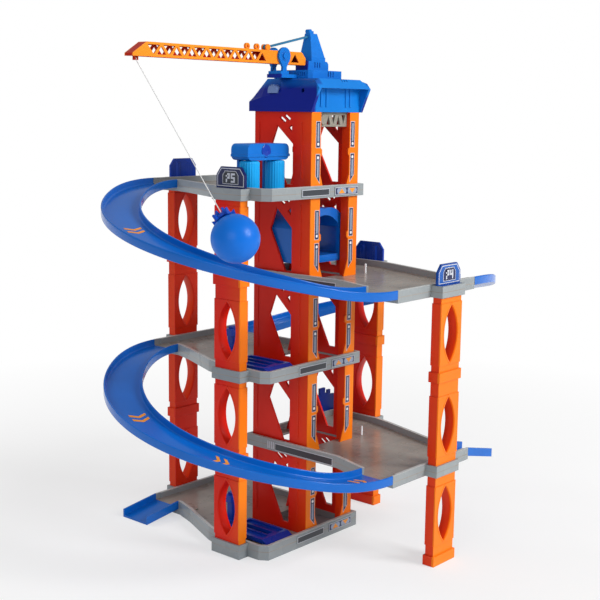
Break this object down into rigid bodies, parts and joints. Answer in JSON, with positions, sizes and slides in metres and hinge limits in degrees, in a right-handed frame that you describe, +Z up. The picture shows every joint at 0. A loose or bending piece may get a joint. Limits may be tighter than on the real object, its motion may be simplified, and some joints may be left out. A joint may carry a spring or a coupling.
{
  "type": "toy parking garage with lift",
  "caption": "Five-storey toy parking garage with a lift shaft, half-turn ramps, repair hoists, a car wash and a roof crane with a swinging ball.",
  "frame": {"origin": "on the floor under the centre of the lift shaft", "axes": "+Z up; -Y is the front with the label plates; -X is the side where the top ramp leaves and the crane's boom points"},
  "size_m": [0.5699, 0.4114, 0.621],
  "materials": {
    "blue_ball": "glossy moulded plastic",
    "blue_body": "satin moulded plastic",
    "blue_hoist": "glossy moulded plastic",
    "blue_ramp": "glossy moulded plastic",
    "grey_blue_knob": "satin moulded plastic",
    "grey_deck": "satin moulded plastic",
    "grey_trim": "satin moulded plastic",
    "navy_board": "satin moulded plastic",
    "navy_sign": "glossy moulded plastic",
    "orange_boom": "satin moulded plastic",
    "orange_frame": "satin moulded plastic",
    "sky_drum": "satin moulded plastic",
    "white_cord": "braided string"
  },
  "bodies": {
    "structure": {"column_front_left_1": "orange_frame", "column_front_left_2": "orange_frame", "column_front_left_3": "orange_frame", "column_front_left_4": "orange_frame", "column_front_right_1": "orange_frame", "column_front_right_2": "orange_frame", "column_front_right_3": "orange_frame", "column_rear_left_1": "orange_frame", "column_rear_left_2": "orange_frame", "column_rear_left_3": "orange_frame", "column_rear_left_4": "orange_frame", "column_rear_right_1": "orange_frame", "column_rear_right_2": "orange_frame", "column_rear_right_3": "orange_frame", "deck_p1": "grey_deck", "deck_p2": "grey_deck", "deck_p3": "grey_deck", "deck_p4": "grey_deck", "deck_p5": "grey_deck", "exit_ramp_p1": "blue_ramp", "exit_ramp_p2": "blue_ramp", "hoist_post_p1": "blue_hoist", "hoist_post_p3": "blue_hoist", "lift_girder": "grey_trim", "ramp_p3_p2": "blue_ramp", "ramp_p4_p3": "blue_ramp", "ramp_p5_p4": "blue_ramp", "roof_housing": "blue_body", "roof_knob": "grey_blue_knob", "sign_front_left": "navy_sign", "sign_front_right": "navy_sign", "sign_rear_left": "navy_sign", "sign_rear_right": "navy_sign", "skyline_p2": "navy_board", "skyline_p4": "navy_board", "tower_wall_left_p1": "orange_frame", "tower_wall_left_p2": "orange_frame", "tower_wall_left_p3": "orange_frame", "tower_wall_left_p4": "orange_frame", "tower_wall_left_p5": "orange_frame", "tower_wall_right_p1": "orange_frame", "tower_wall_right_p2": "orange_frame", "tower_wall_right_p3": "orange_frame", "tower_wall_right_p4": "orange_frame", "tower_wall_right_p5": "orange_frame", "wash_frame": "blue_body"},
    "lift": {"lift_cabin": "blue_body"},
    "crane": {"crane_turntable": "blue_body", "crane_mast": "blue_body", "boom_bracket": "blue_body", "boom_pin": "blue_body", "boom": "orange_boom", "tie_rod": "blue_body"},
    "ball": {"wrecking_ball": "blue_ball", "ball_cap": "blue_body", "ball_cord": "white_cord"},
    "drum_left": {"wash_drum_left": "sky_drum"},
    "drum_right": {"wash_drum_right": "sky_drum"},
    "hoist_p1": {"hoist_platform_p1": "blue_hoist"},
    "hoist_p3": {"hoist_platform_p3": "blue_hoist"}
  },
  "joints": [
    {"name": "lift_slide", "type": "slide", "parent": "structure", "child": "lift", "axis": [0, 0, 1], "range_m": [-0.342, 0.078]},
    {"name": "crane_slew", "type": "hinge", "parent": "structure", "child": "crane", "pos_m": [0, 0, 0.562], "axis": [0, 0, 1], "continuous": true},
    {"name": "ball_swing", "type": "hinge", "parent": "crane", "child": "ball", "pos_m": [-0.272, 0, 0.5755], "axis": [1, 0, 0], "range_deg": [-35, 15]},
    {"name": "drum_left_spin", "type": "hinge", "parent": "structure", "child": "drum_left", "pos_m": [-0.105, -0.004, 0.45], "axis": [0, 0, 1], "continuous": true},
    {"name": "drum_right_spin", "type": "hinge", "parent": "structure", "child": "drum_right", "pos_m": [-0.062, -0.004, 0.45], "axis": [0, 0, 1], "continuous": true},
    {"name": "hoist_p1_lift", "type": "slide", "parent": "structure", "child": "hoist_p1", "axis": [0, 0, 1], "range_m": [0, 0.022]},
    {"name": "hoist_p3_lift", "type": "slide", "parent": "structure", "child": "hoist_p3", "axis": [0, 0, 1], "range_m": [0, 0.022]}
  ]
}
